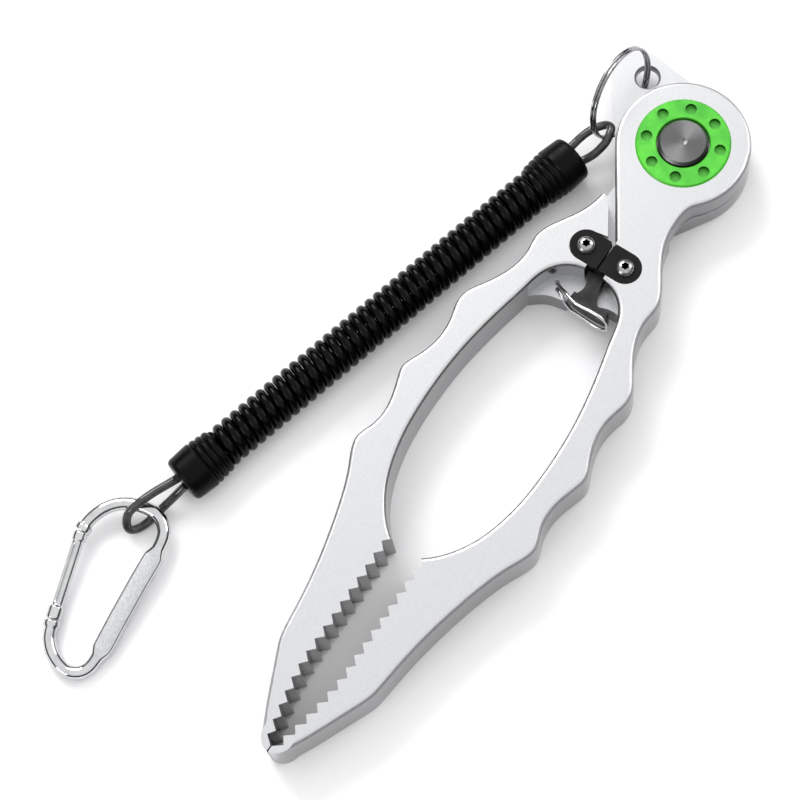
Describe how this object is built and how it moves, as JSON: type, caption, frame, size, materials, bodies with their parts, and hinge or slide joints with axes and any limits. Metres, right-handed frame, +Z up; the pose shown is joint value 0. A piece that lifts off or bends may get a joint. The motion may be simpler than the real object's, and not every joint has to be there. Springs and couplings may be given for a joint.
{
  "type": "fishing pliers",
  "caption": "Flat aluminium fishing pliers with toothed gripping jaws, a finger loop with a thumb lock, and a coiled lanyard that ends in a carabiner.",
  "frame": {"origin": "Hub axis at the back face, which the pliers lie on.", "axes": "+Y from the jaw tip towards the hub, +X to the right with the jaws nearest, +Z up out of the face with the ring."},
  "size_m": [0.1189, 0.2525, 0.0299],
  "materials": {
    "arm_aluminium": "bead-blasted, clear anodised",
    "green_anodised": "satin green anodised",
    "turned_steel": "fine turned",
    "bearing_plastic": "low friction",
    "black_oxide": "black satin",
    "grey_steel": "dark satin",
    "bright_wire": "bright drawn wire",
    "screw_chrome": "bright nickel",
    "bush_brass": "turned",
    "dark_nickel": "dark nickel",
    "smoky_plastic": "smoky translucent",
    "black_rubber": "satin moulded",
    "coil_plastic": "glossy",
    "carabiner_aluminium": "polished, satin spine"
  },
  "bodies": {
    "left_arm": {"left_arm": "arm_aluminium", "pivot_pin": "turned_steel", "pivot_cap": "turned_steel", "pivot_nut": "turned_steel", "thrust_washer": "bearing_plastic", "friction_washer": "bearing_plastic", "lock_pivot_screw": "screw_chrome", "lock_bush": "bush_brass", "lock_spring": "bright_wire"},
    "right_arm": {"right_arm": "arm_aluminium", "tension_ring": "green_anodised", "keeper_plate": "black_oxide", "keeper_screw": "screw_chrome", "catch_post": "turned_steel"},
    "lock_lever": {"lock_plate": "black_oxide", "lock_stem": "grey_steel", "thumb_bar": "grey_steel"},
    "lanyard": {"split_ring": "dark_nickel", "upper_loop": "smoky_plastic", "upper_cap": "black_rubber", "upper_ferrule": "bush_brass", "lanyard_coil": "coil_plastic"},
    "lanyard_end": {"lower_cap": "black_rubber", "lower_ferrule": "bush_brass", "lower_loop": "smoky_plastic"},
    "carabiner": {"carabiner_frame": "carabiner_aluminium", "gate_pin": "turned_steel"},
    "gate": {"carabiner_gate": "carabiner_aluminium", "gate_spring": "bright_wire"}
  },
  "joints": [
    {"name": "jaw_open", "type": "hinge", "parent": "left_arm", "child": "right_arm", "pos_m": [0, 0, 0.0085], "axis": [0, 0, 1], "range_deg": [0, 40]},
    {"name": "lock_swing", "type": "hinge", "parent": "left_arm", "child": "lock_lever", "pos_m": [-0.0067, -0.0422, 0.0162], "axis": [0, 0, 1], "range_deg": [0, 5], "stiffness_Nm_per_rad": 0.01},
    {"name": "lanyard_swing", "type": "hinge", "parent": "left_arm", "child": "lanyard", "pos_m": [-0.0224, 0.0161, 0.0063], "axis": [0, 0, 1], "range_deg": [-60, 0]},
    {"name": "coil_stretch", "type": "slide", "parent": "lanyard", "child": "lanyard_end", "axis": [-0.2685, -0.9633, 0], "range_m": [0, 0.25], "stiffness_N_per_m": 12, "deforming": ["lanyard_coil"]},
    {"name": "carabiner_swing", "type": "hinge", "parent": "lanyard_end", "child": "carabiner", "pos_m": [-0.0745, -0.1758, 0.00533], "axis": [0, 0, 1], "range_deg": [-12, 12]},
    {"name": "gate_open", "type": "hinge", "parent": "carabiner", "child": "gate", "pos_m": [-0.07784, -0.21476, 0.00288], "axis": [0, 0.0628, -0.998], "range_deg": [0, 25], "stiffness_Nm_per_rad": 0.02}
  ]
}
